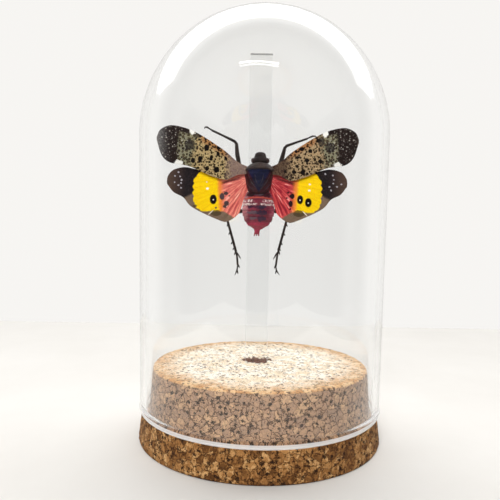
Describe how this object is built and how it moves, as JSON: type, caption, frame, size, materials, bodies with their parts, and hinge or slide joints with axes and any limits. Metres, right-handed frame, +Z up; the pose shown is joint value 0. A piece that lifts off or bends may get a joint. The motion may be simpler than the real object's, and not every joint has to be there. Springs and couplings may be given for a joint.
{
  "type": "insect in glass dome",
  "caption": "spread lanternfly on a clear strip that stands in a turned cork stopper, under a clear round-topped glass dome that lifts off the cork's ledge",
  "frame": {"origin": "centre of the cork's flat underside, on the surface that it stands on", "axes": "+Z up along the dome's axis, -Y to the front where the insect shows its back, +X to the viewer's right"},
  "size_m": [0.0728, 0.0728, 0.1239],
  "materials": {
    "cork": "turned agglomerated cork, fine granules with dark specks, matte",
    "dome_glass": "clear blown glass, smooth, fire-rounded rim",
    "clear_plastic": "clear cast acrylic strip with polished faces and sawn edges",
    "clear_glue": "clear hardened glue, glossy",
    "body_chitin": "blue-black and dark brown chitin, satin, finely pitted",
    "abdomen_chitin": "maroon segmented chitin with dark bars and pale waxy patches",
    "forewing": "leathery khaki wing with black spots, dark flecked tip and pale marks at the edges",
    "hindwing": "thin wing, red at the root, yellow in the middle, black at the tip, with black eye spots",
    "leg_chitin": "black-brown chitin, satin"
  },
  "bodies": {
    "root": {"cork_base": "cork", "glass_dome": "dome_glass", "clear_strip": "clear_plastic", "glue_dab": "clear_glue", "thorax": "body_chitin", "pronotum": "body_chitin", "head": "body_chitin", "abdomen": "abdomen_chitin", "forewing_left": "forewing", "forewing_right": "forewing", "hindwing_left": "hindwing", "hindwing_right": "hindwing", "foreleg_left": "leg_chitin", "foreleg_right": "leg_chitin", "midleg_left": "leg_chitin", "midleg_right": "leg_chitin", "hindleg_left": "leg_chitin", "hindleg_right": "leg_chitin"}
  },
  "joints": []
}
